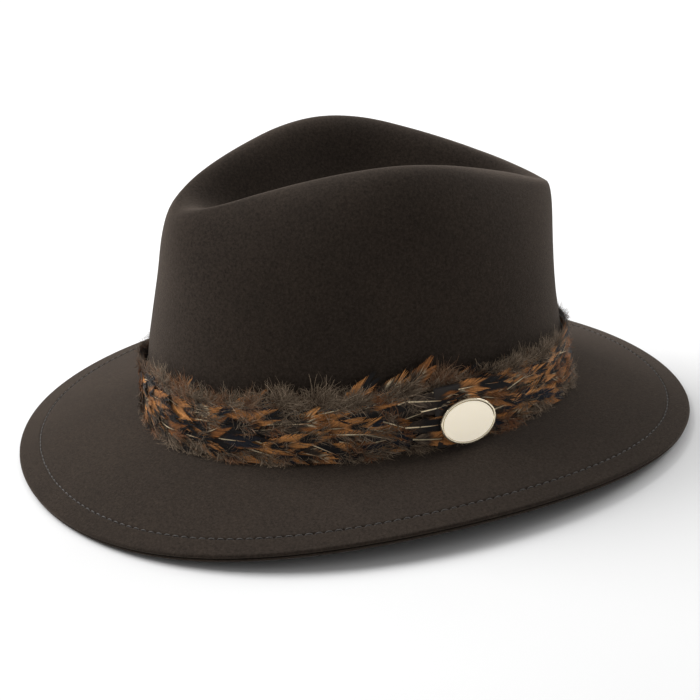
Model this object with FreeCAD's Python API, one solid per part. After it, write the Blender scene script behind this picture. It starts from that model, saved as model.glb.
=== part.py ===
import FreeCAD, Part
import math
import os

# Soft felt fedora with a stitched welted brim, a feather wrap and an oval
# badge.  Millimetres, +Z up, the brim rests near z = 0, the front of the hat
# is -Y and the wearer's left is +X.  Angles run round the hat from +X
# towards the back (+Y).

os.makedirs("parts", exist_ok=True)
V = FreeCAD.Vector

# ------------------------------------------------------------------ sizes
CENTRE_Y = 2.631           # shift that centres the brim on the origin
STATIONS = 64              # stations round the trimmings
BODY_STATIONS = 128        # stations round the felt body

FELT = 2.1                 # felt thickness
WELT = 1.7                 # thickness of the turned-under felt
WELT_GAP = 0.15            # gap between the brim and the welt
WELT_WIDTH = 12.5          # width of the turned-under strip
STITCH_IN = 11.0           # stitch line, distance in from the brim edge
STITCH_DEPTH = 0.06        # thread centre below the top of the brim
STITCH_RADIUS = 0.275
WIRE_IN = 2.9              # wire centre, distance in from the brim edge
WIRE_RADIUS = 0.48
EDGE_LIFT = WELT + WELT_GAP + FELT - 0.45    # raises the edge of the brim
CROWN_LIFT = EDGE_LIFT * 0.5                 # raises the junction and crown

# Outlines: half width, reach to the front and back, widening towards the
# back (negative narrows), fullness of the corners.
# Heights: at the sides, front and back, and extra height on the diagonals.
EDGE_OUTLINE = dict(half_width=148.145, front=168.401, back=163.139,
                    fullness=0.0626, widening=-0.044)
EDGE_HEIGHT = dict(side=8.55, front=0.0, back=0.36, diagonal=-1.25)
LOW_FULLNESS = 0.035       # of the junction and the lower wall
JUNCTION_OUTLINE = dict(half_width=86.0, front=105.0, back=105.0, fullness=LOW_FULLNESS)
JUNCTION_HEIGHT = dict(side=18.3, front=18.0, back=16.5, diagonal=-0.3)
BRIM_BULGE = 1.4           # how far the brim bows up between crown and edge

# stations in from the brim edge: distance, thinning of the felt underneath
EDGE_STATIONS = [
    (0.55, 0.2 * FELT), (WIRE_IN - 1.3, 0.45), (WIRE_IN, 0.62), (WIRE_IN + 1.3, 0.45),
    (6.0, 0.0), (8.2, 0.0), (9.6, 0.0)]
# groove along the stitch line: distance from the line, depth
GROOVE = [(-0.65, 0.05), (-0.25, 0.55), (0.0, 0.75), (0.25, 0.55), (0.65, 0.05)]
PAST_GROOVE = [12.6, 14.5]     # distances in from the brim edge
# the rest of the brim, as shares of the way from edge to junction
BRIM_SHARES = [0.30, 0.38, 0.47, 0.56, 0.65, 0.74, 0.82, 0.89, 0.945, 0.98]
NOSE_INSET = 0.35          # nose rows, in from the two faces of the felt

# lower wall: height above the junction, half width, front, back
WALL_LOW = [
    (5.0, 84.9, 103.9, 103.6), (12.0, 84.4, 103.4, 102.9), (20.0, 84.1, 103.0, 102.3),
    (28.0, 83.5, 102.2, 101.8), (36.0, 82.7, 101.2, 101.2)]
# upper wall: share of the crest height, half width, front, back, fullness
WALL_UP = [
    (0.42, 81.4, 99.2, 100.6, 0.030), (0.50, 80.4, 97.4, 100.3, 0.022),
    (0.58, 79.2, 95.6, 100.4, 0.010), (0.66, 77.6, 93.9, 100.8, -0.004),
    (0.74, 75.5, 92.7, 101.5, -0.024), (0.81, 72.8, 91.6, 102.4, -0.047),
    (0.87, 69.2, 90.2, 103.2, -0.071), (0.92, 65.2, 88.8, 103.6, -0.093),
    (0.96, 60.9, 86.9, 103.4, -0.114), (0.985, 57.2, 84.7, 102.3, -0.130)]
# crest of the dent rim, x, y, z from the front to the back on the +X side
CREST_STEP = 15.0          # degrees between stations
CREST = [
    (0.0, -81.5, 122.9), (13.05, -78.5, 125.0), (23.4, -69.6, 128.6),
    (31.4, -55.5, 133.1), (39.3, -36.9, 137.6), (47.8, -15.9, 141.3),
    (52.7, 6.8, 142.2), (50.9, 29.5, 138.7), (41.9, 50.5, 132.1),
    (30.8, 68.8, 124.9), (20.7, 82.7, 118.1), (10.6, 91.4, 112.7),
    (0.0, 94.1, 110.5)]
DENT_CENTRE = V(0.0, CENTRE_Y + 5.0, 101.0 + CROWN_LIFT)     # on the dent floor
# rings inside the dent: x share, y share at the front, at the back, drop share
DENT = [
    (0.93, 0.955, 0.965, 0.020), (0.86, 0.905, 0.925, 0.085),
    (0.79, 0.850, 0.880, 0.210), (0.72, 0.785, 0.820, 0.380),
    (0.64, 0.710, 0.745, 0.560), (0.55, 0.620, 0.655, 0.720),
    (0.45, 0.520, 0.550, 0.840), (0.34, 0.400, 0.430, 0.920),
    (0.22, 0.270, 0.290, 0.970), (0.12, 0.150, 0.160, 0.992),
    (0.06, 0.075, 0.080, 0.998), (0.025, 0.030, 0.032, 1.0)]

# section of the welt: distance in from the edge, depth below its top face
WELT_SECTION = [
    (0.4, 0.05), (1.2, 0.1),
    (WIRE_IN - 1.1, 0.55), (WIRE_IN, 0.62), (WIRE_IN + 1.1, 0.55),
    (4.7, 0.1), (6.5, 0.0), (9.5, 0.2), (11.5, 0.6),
    (WELT_WIDTH, 0.6), (WELT_WIDTH, 0.8), (WELT_WIDTH, WELT - 0.3),
    (WELT_WIDTH - 0.3, WELT), (9.5, WELT), (6.0, WELT), (3.0, WELT), (1.2, WELT),
    (0.1, WELT - 0.2), (0.0, 0.4)]

# Bands round the crown: bottom and top above the junction, inner offset at
# bottom and top, outer offset at bottom and top, levels.  Offsets are from
# the outer face of the felt wall, negative inside the hat.
SWEAT_LOW = -1.0
SWEAT_INNER, SWEAT_OUTER = -4.65, -3.75
BANDS = {
    "wrap_backing_ribbon": (4.5, 30.0, (0.6, 0.6), (1.2, 1.2), 6),
    "feathers_upper_row": (17.5, 30.0, (1.35, 1.35), (3.0, 2.3), 3),
    "feathers_middle_row": (9.5, 23.0, (3.3, 3.3), (5.0, 4.4), 3),
    "feathers_lower_row": (2.2, 16.0, (5.3, 5.3), (7.0, 6.2), 3),
    "down_fluff_upper": (30.4, 34.5, (0.8, 0.6), (2.6, 1.6), 2),
    "down_fluff_lower": (2.0, 9.0, (1.5, 1.5), (4.6, 2.9), 2),
    "sweatband": (SWEAT_LOW, 40.0, (SWEAT_INNER,) * 2, (SWEAT_OUTER,) * 2, 4),
    "lining_side_band": (8.0, 74.0, (-3.0, -3.0), (-2.65, -2.65), 8),
}
BAND_LIP = 0.4             # extra level next to each edge of a band

# Cords round the crown: height above the junction, offset, radius
WALL_CORDS = {
    "wrap_binding_thread": (25.6, 3.6, 0.35),
    "sweatband_reed": (SWEAT_LOW - 1.1, (SWEAT_INNER + SWEAT_OUTER) / 2.0, 0.75),
    "sweatband_stitching": (SWEAT_LOW + 2.0, -3.45, 0.25),
}

BADGE_ANGLE = 8.6          # degrees
BADGE_HEIGHT = 11.8        # centre above the junction
BADGE_OFFSET = 9.4         # inner face of the badge off the felt wall
BADGE_TILT = 9.0           # degrees, long axis raised towards the back
BADGE_LEAN = 0.06          # upward slope of the badge's outward axis
BADGE_HALF_LENGTH, BADGE_HALF_HEIGHT = 15.0, 11.6
BADGE_THICKNESS = 1.5
BADGE_FILLET = 0.45
BADGE_RIM = 1.7            # width of the raised rim
BADGE_RECESS = 0.35        # depth of the face inside the rim
POST_X = 7.5               # posts on the long axis, each side of the middle
POST_RADIUS, POST_LENGTH, POST_BOTTOM = 0.6, 2.65, -2.7
HEAD_RADIUS, HEAD_THICKNESS = 1.1, 0.25
HOLE_RADIUS, HOLE_LENGTH, HOLE_BOTTOM = 0.75, 8.0, -6.0

# start and end angle of the loop, knot and loop of the bow at the back
BOW_PARTS = [(85.2, 88.9), (89.35, 90.65), (91.1, 94.8)]

TIP_HEIGHT = 75.0          # rim of the lining tip above the junction
TIP_THICKNESS = 0.35
# lining tip: share of the way from middle to rim, rise above the rim
TIP_RINGS = [(0.0, 1.6), (0.3, 1.6), (0.65, 1.3), (0.9, 0.7), (0.985, 0.1)]


# ------------------------------------------------------------------ shape of the hat
def lerp(a, b, t):
    return a + (b - a) * t


def angles(count):
    return [2 * math.pi * j / count for j in range(count)]


ANGLES = angles(STATIONS)


def ring(point_at):
    return [point_at(angle) for angle in ANGLES]


def oval(angle, half_width, front, back, fullness, widening=0.0):
    s, c = math.sin(angle), math.cos(angle)
    return (half_width * c * (1 + widening * s) * (1 + fullness * s * s),
            CENTRE_Y + (back - front) / 2.0
            + (front + back) / 2.0 * s * (1 + fullness * c * c))


def height(angle, side, front, back, diagonal):
    s = math.sin(angle)
    middle = (front + back) / 2.0
    return (side + (middle - side) * s * s + (back - front) / 2.0 * s ** 3
            + diagonal * (1 - math.cos(4 * angle)) / 2.0)


def edge_point(angle):
    return V(*oval(angle, **EDGE_OUTLINE), height(angle, **EDGE_HEIGHT) + EDGE_LIFT)


def junction_point(angle):
    # where the brim meets the crown
    return V(*oval(angle, **JUNCTION_OUTLINE), height(angle, **JUNCTION_HEIGHT) + CROWN_LIFT)


def crest_station(i):
    # the table gives the +X half; the other half is its mirror image
    last = len(CREST) - 1
    i %= 2 * last
    if i <= last:
        return V(*CREST[i])
    x, y, z = CREST[2 * last - i]
    return V(-x, y, z)


def crest_point(angle):
    # Catmull-Rom curve through the crest stations
    position = (math.degrees(angle) + 90.0) % 360.0 / CREST_STEP
    i = int(position)
    t = position - i
    p0, p1, p2, p3 = [crest_station(i + k) for k in (-1, 0, 1, 2)]
    point = (p1 * 2 + (p2 - p0) * t + (p0 * 2 - p1 * 5 + p2 * 4 - p3) * t ** 2
             + (p1 * 3 - p0 - p2 * 3 + p3) * t ** 3) * 0.5
    return point + V(0, CENTRE_Y, CROWN_LIFT)


def wall_rows(angle):
    # points up the wall from just above the junction to just below the crest
    z = junction_point(angle).z
    crest_rise = crest_point(angle).z - z
    low = [V(*oval(angle, *sizes, LOW_FULLNESS), z + rise) for rise, *sizes in WALL_LOW]
    up = [V(*oval(angle, *sizes), z + share * crest_rise) for share, *sizes in WALL_UP]
    return low + up


def dent_rows(angle):
    crest = crest_point(angle)
    s = math.sin(angle)
    points = []
    for x_share, front_share, back_share, drop in DENT:
        y_share = lerp(x_share, front_share if s < 0 else back_share, s * s)
        points.append(V(crest.x * x_share,
                        lerp(DENT_CENTRE.y, crest.y, y_share),
                        lerp(crest.z, DENT_CENTRE.z, drop)))
    return points


def brim_length(angle):
    return (edge_point(angle) - junction_point(angle)).Length


def brim_point(angle, inward):
    # point on the top of the brim, a distance in from the edge
    share = 1.0 - inward / brim_length(angle)
    bulge = BRIM_BULGE * 4.0 * share * (1 - share)
    return lerp(junction_point(angle), edge_point(angle), share) + V(0, 0, bulge)


def under_point(angle, inward, depth):
    # point below the top face of the brim, square to it
    around = brim_point(angle + 0.02, inward) - brim_point(angle - 0.02, inward)
    across = brim_point(angle, inward + 0.5) - brim_point(angle, inward - 0.5)
    return brim_point(angle, inward) - around.cross(across).normalize() * depth


def outward(tangent, lean=0.0):
    return V(tangent.y, -tangent.x, lean).normalize()


def wall_profile(angle, rise):
    # point on the outer face of the wall, a height above the junction
    rows = [junction_point(angle)] + wall_rows(angle)
    z = rows[0].z + rise
    for a, b in zip(rows, rows[1:]):
        if a.z <= z <= b.z:
            return lerp(a, b, (z - a.z) / (b.z - a.z))


def wall_point(angle, rise, offset):
    # below the first wall station the point follows the wall above it
    wall_rise = max(rise, WALL_LOW[0][0])
    point = wall_profile(angle, wall_rise)
    tangent = wall_profile(angle + 0.02, wall_rise) - wall_profile(angle - 0.02, wall_rise)
    point += outward(tangent) * offset
    return V(point.x, point.y, junction_point(angle).z + rise)


# ------------------------------------------------------------------ solids
def fit_ring(points):
    # poles of a closed cubic spline that passes through the points
    poles = list(points)
    count = len(poles)
    for _ in range(10):
        poles = [poles[j] + points[j]
                 - (poles[j - 1] + poles[j] * 4 + poles[(j + 1) % count]) * (1 / 6.0)
                 for j in range(count)]
    return poles


def spline_solid(rows, row_mults, rows_closed):
    # one cubic face over rows of poles; every row closes round the oval
    column_mults = [1] * (len(rows[0]) + 1)
    surface = Part.BSplineSurface()
    surface.buildFromPolesMultsKnots(
        rows, row_mults, column_mults,
        [float(i) for i in range(len(row_mults))],
        [float(i) for i in range(len(column_mults))],
        rows_closed, True, 3, 3)
    solid = Part.Solid(Part.Shell([surface.toShape()]))
    if solid.Volume < 0:
        solid.reverse()
    return solid


def closed_loop(rows):
    # closed section carried round the oval; one row per section point
    return spline_solid([fit_ring(row) for row in rows], [1] * (len(rows) + 1), True)


def closed_bag(rows, fit=True):
    # first and last row are single points
    if fit:
        rows = [rows[0]] + [fit_ring(row) for row in rows[1:-1]] + [rows[-1]]
    return spline_solid(rows, [4] + [1] * (len(rows) - 4) + [4], False)


def levels(low, high, count):
    return [lerp(low, high, i / (count - 1.0)) for i in range(count)]


def band(low, high, inner, outer, count):
    # thin upright band; inner and outer = offsets at bottom and top
    rises = ([low, low + BAND_LIP] + levels(low, high, count)[1:-1]
             + [high - BAND_LIP, high])
    rows = []
    for side_rises, offsets in ((rises, inner), (rises[::-1], outer)):
        for rise in side_rises:
            offset = lerp(*offsets, (rise - low) / (high - low))
            rows.append(ring(lambda angle: wall_point(angle, rise, offset)))
    return closed_loop(rows)


def patch(start, end, stations, low, high, inner, outer):
    # piece of band between two angles in degrees, closed at both ends
    rises = levels(low, high, 5)
    section = [(rise, inner) for rise in rises] + [(rise, outer) for rise in rises[::-1]]
    degrees = levels(start, end, stations)
    rows = [[wall_point(math.radians(d), *point) for point in section] for d in degrees]
    caps = [[wall_point(math.radians(d), (low + high) / 2.0, (inner + outer) / 2.0)]
            * len(section) for d in (start, end)]
    # the doubled end rows keep the ends crisp
    return closed_bag([caps[0], rows[0]] + rows + [rows[-1], caps[1]], fit=False)


CORD_SECTION = [(1.0, 0.76), (0.76, 1.0), (-0.76, 1.0), (-1.0, 0.76),
                (-1.0, -0.76), (-0.76, -1.0), (0.76, -1.0), (1.0, -0.76)]


def section_area(poles, steps=12):
    # area inside the closed cubic spline of these poles
    outline = []
    count = len(poles)
    for i in range(count):
        near = [poles[(i + k) % count] for k in (-1, 0, 1, 2)]
        for step in range(steps):
            t = step / float(steps)
            weights = ((1 - t) ** 3 / 6, (3 * t ** 3 - 6 * t * t + 4) / 6,
                       (-3 * t ** 3 + 3 * t * t + 3 * t + 1) / 6, t ** 3 / 6)
            outline.append([sum(w * p[axis] for w, p in zip(weights, near))
                            for axis in (0, 1)])
    return abs(sum(outline[i - 1][0] * outline[i][1] - outline[i][0] * outline[i - 1][1]
                   for i in range(len(outline)))) / 2.0


def cord(path, radius):
    # thin closed cord along path(angle); a rounded square section with the
    # same area as a circle of the radius
    scale = radius * math.sqrt(math.pi / section_area(CORD_SECTION))
    centres = ring(path)
    frames = []
    for j, centre in enumerate(centres):
        tangent = (centres[(j + 1) % STATIONS] - centres[j - 1]).normalize()
        normal = outward(tangent)
        frames.append((centre, normal, tangent.cross(normal)))
    return closed_loop([[centre + (normal * u + binormal * v) * scale
                         for centre, normal, binormal in frames]
                        for u, v in CORD_SECTION])


def save(name, *shapes):
    solids = [solid for shape in shapes for solid in shape.Solids]
    result = solids[0] if len(solids) == 1 else Part.makeCompound(solids)
    result.exportStep("parts/" + name + ".step")


# ------------------------------------------------------------------ felt body
def outer_rows(angle):
    # from the edge inwards, up the crown and down into the dent
    points = [brim_point(angle, inward) for inward, _ in EDGE_STATIONS]
    points += [brim_point(angle, STITCH_IN + shift) - V(0, 0, depth)
               for shift, depth in GROOVE]
    points += [brim_point(angle, inward) for inward in PAST_GROOVE]
    length = brim_length(angle)
    points += [brim_point(angle, share * length) for share in BRIM_SHARES]
    points.append(junction_point(angle))
    points += wall_rows(angle)
    points.append(crest_point(angle))
    return points + dent_rows(angle)


def offset_grid(rows, depths):
    # rows moved below / inside the surface, each by its own depth
    last, columns = len(rows) - 1, len(rows[0])
    result = []
    for i, depth in enumerate(depths):
        moved = []
        for j in range(columns):
            across = rows[min(i + 1, last)][j] - rows[max(i - 1, 0)][j]
            around = rows[i][(j + 1) % columns] - rows[i][j - 1]
            moved.append(rows[i][j] - around.cross(across).normalize() * depth)
        result.append(moved)
    return result


def felt_body():
    body_angles = angles(BODY_STATIONS)
    top = [list(row) for row in zip(*[outer_rows(angle) for angle in body_angles])]
    depths = [FELT - thinning for _, thinning in EDGE_STATIONS]
    depths += [FELT] * (len(top) - len(depths))
    under = offset_grid(top, depths)
    nose = [[brim_point(angle, 0.0) - V(0, 0, drop) for angle in body_angles]
            for drop in (NOSE_INSET, FELT - NOSE_INSET)]
    top_pole = [DENT_CENTRE] * BODY_STATIONS
    low_pole = [DENT_CENTRE - V(0, 0, FELT)] * BODY_STATIONS
    return closed_bag([top_pole] + top[::-1] + nose + under + [low_pole])


save("felt_body", felt_body())


# ------------------------------------------------------------------ brim edge
def underwelt():
    return closed_loop([
        ring(lambda angle: under_point(angle, inward, FELT + WELT_GAP + depth))
        for inward, depth in WELT_SECTION])


save("brim_underwelt", underwelt())
save("brim_wire", cord(
    lambda angle: under_point(angle, WIRE_IN, FELT + WELT_GAP * 0.5), WIRE_RADIUS))
save("brim_edge_stitching", cord(
    lambda angle: under_point(angle, STITCH_IN, STITCH_DEPTH), STITCH_RADIUS))

# ------------------------------------------------------------------ bands and cords
for name, sizes in BANDS.items():
    save(name, band(*sizes))
for name, (rise, offset, radius) in WALL_CORDS.items():
    save(name, cord(lambda angle: wall_point(angle, rise, offset), radius))


# ------------------------------------------------------------------ keeper and badge
def badge_placement():
    # badge frame: x along the long axis, y up, z outwards
    angle = math.radians(BADGE_ANGLE)
    tangent = (wall_point(angle + 0.03, BADGE_HEIGHT, 0.0)
               - wall_point(angle - 0.03, BADGE_HEIGHT, 0.0)).normalize()
    out = outward(tangent, BADGE_LEAN)
    up = out.cross(tangent).normalize()
    along = up.cross(out)
    tilt = math.radians(BADGE_TILT)
    x_axis = along * math.cos(tilt) + up * math.sin(tilt)
    y_axis = up * math.cos(tilt) - along * math.sin(tilt)
    origin = wall_point(angle, BADGE_HEIGHT, 0.0) + out * BADGE_OFFSET
    return FreeCAD.Placement(FreeCAD.Matrix(
        x_axis.x, y_axis.x, out.x, origin.x,
        x_axis.y, y_axis.y, out.y, origin.y,
        x_axis.z, y_axis.z, out.z, origin.z,
        0, 0, 0, 1))


BADGE_PLACEMENT = badge_placement()


def place_on_badge(shape):
    placed = shape.copy()
    placed.Placement = BADGE_PLACEMENT.multiply(placed.Placement)
    return placed


def oval_plate(half_length, half_height, thickness, z=0.0):
    ellipse = Part.Ellipse(V(0, 0, z), half_length, half_height)
    return Part.Face(Part.Wire([ellipse.toShape()])).extrude(V(0, 0, thickness))


def badge_plate():
    plate = oval_plate(BADGE_HALF_LENGTH, BADGE_HALF_HEIGHT, BADGE_THICKNESS)
    outer_edges = [edge for edge in plate.Edges
                   if abs(edge.CenterOfMass.z - BADGE_THICKNESS) < 1e-6]
    plate = plate.makeFillet(BADGE_FILLET, outer_edges)
    recess = oval_plate(BADGE_HALF_LENGTH - BADGE_RIM, BADGE_HALF_HEIGHT - BADGE_RIM,
                        2.0, BADGE_THICKNESS - BADGE_RECESS)
    return place_on_badge(plate.cut(recess))


def badge_post(x):
    post = Part.makeCylinder(POST_RADIUS, POST_LENGTH, V(x, 0, POST_BOTTOM))
    head = Part.makeCylinder(HEAD_RADIUS, HEAD_THICKNESS,
                             V(x, 0, POST_BOTTOM - HEAD_THICKNESS))
    return place_on_badge(post.fuse(head).removeSplitter())


def drill_for_posts(shape):
    for x in (-POST_X, POST_X):
        hole = Part.makeCylinder(HOLE_RADIUS, HOLE_LENGTH, V(x, 0, HOLE_BOTTOM))
        shape = shape.cut(place_on_badge(hole))
    return shape


# upright strap over the wrap, with the badge on it
save("wrap_keeper_strap", drill_for_posts(patch(
    BADGE_ANGLE - 8.6, BADGE_ANGLE + 5.0, stations=8,
    low=1.8, high=30.5, inner=7.6, outer=8.5)))
save("badge_plate", badge_plate())
save("badge_back_plate", drill_for_posts(patch(
    BADGE_ANGLE - 7.5, BADGE_ANGLE + 7.5, stations=7,
    low=7.5, high=17.5, inner=7.15, outer=7.45)))
save("badge_posts", badge_post(-POST_X), badge_post(POST_X))

# ------------------------------------------------------------------ sweatband back
save("sweatband_back_tape", patch(
    86.5, 93.5, stations=5, low=1.0, high=38.0, inner=-5.3, outer=-4.75))
save("sweatband_bow", *[
    patch(start, end, stations=5, low=3.0, high=9.0, inner=-6.1, outer=-5.5)
    for start, end in BOW_PARTS])


# ------------------------------------------------------------------ lining tip
def tip_point(angle, share, rise):
    middle = V(0.0, CENTRE_Y, junction_point(angle).z + TIP_HEIGHT)
    return lerp(middle, wall_point(angle, TIP_HEIGHT, -3.4), share) + V(0, 0, rise)


def lining_tip():
    top = [ring(lambda angle: tip_point(angle, share, rise)) for share, rise in TIP_RINGS]
    # the middle ring shrinks to one point at its mean height
    middle_z = sum(point.z for point in top[0]) / STATIONS
    top[0] = [V(0.0, CENTRE_Y, middle_z)] * STATIONS
    rim = ring(lambda angle: wall_point(angle, TIP_HEIGHT - 0.05, -3.3))
    low = [[point - V(0, 0, TIP_THICKNESS) for point in row] for row in top]
    return closed_bag(top + [rim] + low[::-1])


save("lining_tip", lining_tip())
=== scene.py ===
# A wide-brimmed felt hat with a dented crown, a wrap of feathers and an oval badge.
# +Z is up, the front faces -Y and the badge is on the +X side. The angle theta runs
# round the hat from +X (0) through the back, +Y (90 degrees). Lengths are millimetres
# unless noted; make_mesh scales them to metres.
import math
import bpy
import numpy as np
from mathutils import Matrix, Vector


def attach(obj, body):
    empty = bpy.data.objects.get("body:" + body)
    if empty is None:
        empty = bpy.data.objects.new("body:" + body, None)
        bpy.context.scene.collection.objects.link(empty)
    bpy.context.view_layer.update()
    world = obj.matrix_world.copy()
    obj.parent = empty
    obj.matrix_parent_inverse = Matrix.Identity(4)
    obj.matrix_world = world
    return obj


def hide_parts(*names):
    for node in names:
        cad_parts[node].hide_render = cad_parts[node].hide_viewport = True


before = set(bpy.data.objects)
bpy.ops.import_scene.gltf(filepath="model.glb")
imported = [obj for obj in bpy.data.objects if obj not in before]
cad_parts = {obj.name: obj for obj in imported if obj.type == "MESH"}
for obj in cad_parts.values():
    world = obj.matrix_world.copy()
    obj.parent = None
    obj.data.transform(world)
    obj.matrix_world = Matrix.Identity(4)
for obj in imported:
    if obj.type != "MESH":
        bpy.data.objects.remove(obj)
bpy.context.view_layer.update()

MM = 0.001
TURN = 2 * math.pi
rng = np.random.default_rng(7)

# The two bodies that pieces ride on
HAT = "hat"
WRAP = "feather_wrap"

# ------------------------------------------------------------------ driving sizes
MIDDLE_Y = 2.631
FELT = 2.1              # thickness of the felt
WELT = 1.7              # thickness of the fold under the brim edge
WELT_GAP = 0.15
EDGE_LIFT = WELT + WELT_GAP + FELT - 0.45
HALF_LIFT = EDGE_LIFT * 0.5

# Plan of a ring: half width in x, reach to front and back, fullness, taper.
# Levels of a ring: z at the sides, front and back, and what is added on the diagonals.
BRIM_PLAN = dict(half_width=148.145, front=168.401, back=163.139, fullness=0.0626, taper=-0.044)
BRIM_LEVELS = dict(side=8.55, front=0.0, back=0.36, diagonal=-1.25)
LOW_FULLNESS = 0.035
JUNCTION_PLAN = dict(half_width=86.0, front=105.0, back=105.0, fullness=LOW_FULLNESS)
JUNCTION_LEVELS = dict(side=18.3, front=18.0, back=16.5, diagonal=-0.3)
BRIM_BULGE = 1.4        # how far the brim arches above a straight line

# Lower crown wall: height above the junction, half width, front, back
WALL_LOW = [(5.0, 84.9, 103.9, 103.6), (12.0, 84.4, 103.4, 102.9), (20.0, 84.1, 103.0, 102.3),
            (28.0, 83.5, 102.2, 101.8), (36.0, 82.7, 101.2, 101.2)]
# Upper crown wall: share of the rise to the crest, half width, front, back, fullness
WALL_UP = [(0.42, 81.4, 99.2, 100.6, 0.030), (0.50, 80.4, 97.4, 100.3, 0.022),
           (0.58, 79.2, 95.6, 100.4, 0.010), (0.66, 77.6, 93.9, 100.8, -0.004),
           (0.74, 75.5, 92.7, 101.5, -0.024), (0.81, 72.8, 91.6, 102.4, -0.047),
           (0.87, 69.2, 90.2, 103.2, -0.071), (0.92, 65.2, 88.8, 103.6, -0.093),
           (0.96, 60.9, 86.9, 103.4, -0.114), (0.985, 57.2, 84.7, 102.3, -0.130)]
# Crest of the crown every 15 degrees from the front to the back, +X side
CREST_X = [0.0, 13.05, 23.4, 31.4, 39.3, 47.8, 52.7, 50.9, 41.9, 30.8, 20.7, 10.6, 0.0]
CREST_Y = [-81.5, -78.5, -69.6, -55.5, -36.9, -15.9, 6.8, 29.5, 50.5, 68.8, 82.7, 91.4, 94.1]
CREST_Z = [122.9, 125.0, 128.6, 133.1, 137.6, 141.3, 142.2, 138.7, 132.1, 124.9, 118.1, 112.7,
           110.5]
CREST_STEP = 15.0
CREST_SAMPLES = 1440
CREST_BLUR = 36         # samples the smoothing reaches either way

DENT_CENTRE = np.array([0.0, MIDDLE_Y + 5.0, 101.0 + HALF_LIFT])
# Dent in the crown: share of the crest's reach at side, front and back, share of the drop
DENT = [(0.93, 0.955, 0.965, 0.020), (0.86, 0.905, 0.925, 0.085), (0.79, 0.850, 0.880, 0.210),
        (0.72, 0.785, 0.820, 0.380), (0.64, 0.710, 0.745, 0.560), (0.55, 0.620, 0.655, 0.720),
        (0.45, 0.520, 0.550, 0.840), (0.34, 0.400, 0.430, 0.920), (0.22, 0.270, 0.290, 0.970),
        (0.12, 0.150, 0.160, 0.992), (0.06, 0.075, 0.080, 0.998), (0.025, 0.030, 0.032, 1.0)]


# ------------------------------------------------------------------ small maths
def lerp(start, end, share):
    return start + (end - start) * share


def mix(base, over, amount):
    return base * (1 - amount) + over * amount


def ease(value, start, end):
    share = np.clip((value - start) / (end - start), 0, 1)
    return share * share * (3 - 2 * share)


def bell(value, centre, width):
    return np.exp(-((value - centre) / width) ** 2)


def unit(vectors, floor=0.0):
    return vectors / np.maximum(np.linalg.norm(vectors, axis=-1, keepdims=True), floor)


def running_length(points):
    steps = np.linalg.norm(np.diff(points, axis=0), axis=-1)
    return np.concatenate([[0], np.cumsum(steps)])


def bspline_spans(spans, steps):
    points = []
    for first, second, third, fourth in spans:
        for i in range(steps):
            t = i / steps
            points.append((1 - t) ** 3 / 6 * first + (3 * t ** 3 - 6 * t * t + 4) / 6 * second
                          + (-3 * t ** 3 + 3 * t * t + 3 * t + 1) / 6 * third
                          + t ** 3 / 6 * fourth)
    return points


def bspline_open(rings, steps):
    # the end rings are tripled so that the surface reaches them
    knots = np.concatenate([rings[:1], rings[:1], rings, rings[-1:], rings[-1:]])
    spans = zip(knots, knots[1:], knots[2:], knots[3:])
    return np.array(bspline_spans(spans, steps) + [knots[-1]])


def bspline_closed(rings, steps):
    rings = np.asarray(rings)
    spans = zip(*(np.roll(rings, shift, 0) for shift in (1, 0, -1, -2)))
    return np.array(bspline_spans(spans, steps))


# ------------------------------------------------------------------ hat surface
def oval(theta, half_width, front, back, fullness, taper=0.0):
    sin, cos = np.sin(theta), np.cos(theta)
    half_length = (front + back) / 2.0
    shift = (back - front) / 2.0
    x = half_width * cos * (1 + taper * sin) * (1 + fullness * sin * sin)
    y = MIDDLE_Y + shift + half_length * sin * (1 + fullness * cos * cos)
    return x, y


def ring_level(theta, side, front, back, diagonal):
    sin = np.sin(theta)
    middle = (front + back) / 2.0
    return (side + (middle - side) * sin * sin + (back - front) / 2.0 * sin ** 3
            + diagonal * (1 - np.cos(4 * theta)) / 2.0)


def edge_pt(theta):
    z = ring_level(theta, **BRIM_LEVELS) + EDGE_LIFT
    return np.stack([*oval(theta, **BRIM_PLAN), z], -1)


def junction_pt(theta):
    # where the brim meets the crown
    z = ring_level(theta, **JUNCTION_LEVELS) + HALF_LIFT
    return np.stack([*oval(theta, **JUNCTION_PLAN), z], -1)


def crest_spline(stations, degrees, mirror):
    # Catmull-Rom; mirror is the sign the column takes across the x = 0 plane
    position = degrees / CREST_STEP
    i = np.minimum(position.astype(int), 11)
    t = position - i
    ends = np.concatenate([[mirror * stations[1]], stations, [mirror * stations[11]]])
    p0, p1, p2, p3 = ends[i], ends[i + 1], ends[i + 2], ends[i + 3]
    return 0.5 * (2 * p1 + (p2 - p0) * t + (2 * p0 - 5 * p1 + 4 * p2 - p3) * t * t
                  + (3 * p1 - p0 - 3 * p2 + p3) * t ** 3)


def smoothed_crest():
    theta = np.linspace(0, TURN, CREST_SAMPLES, endpoint=False)
    degrees = (np.degrees(theta) + 90.0) % 360.0
    side = np.where(degrees > 180.0, -1.0, 1.0)
    degrees = np.where(degrees > 180.0, 360.0 - degrees, degrees)
    crest = np.stack([side * crest_spline(CREST_X, degrees, -1.0),
                      crest_spline(CREST_Y, degrees, 1.0) + MIDDLE_Y,
                      crest_spline(CREST_Z, degrees, 1.0) + HALF_LIFT], -1)
    kernel = np.exp(-0.5 * (np.arange(-CREST_BLUR, CREST_BLUR + 1) / 12.0) ** 2)
    kernel /= kernel.sum()
    wrapped = np.concatenate([crest[-CREST_BLUR:], crest, crest[:CREST_BLUR]])
    return np.stack([np.convolve(wrapped[:, i], kernel, "valid") for i in range(3)], -1)


CREST = smoothed_crest()


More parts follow.
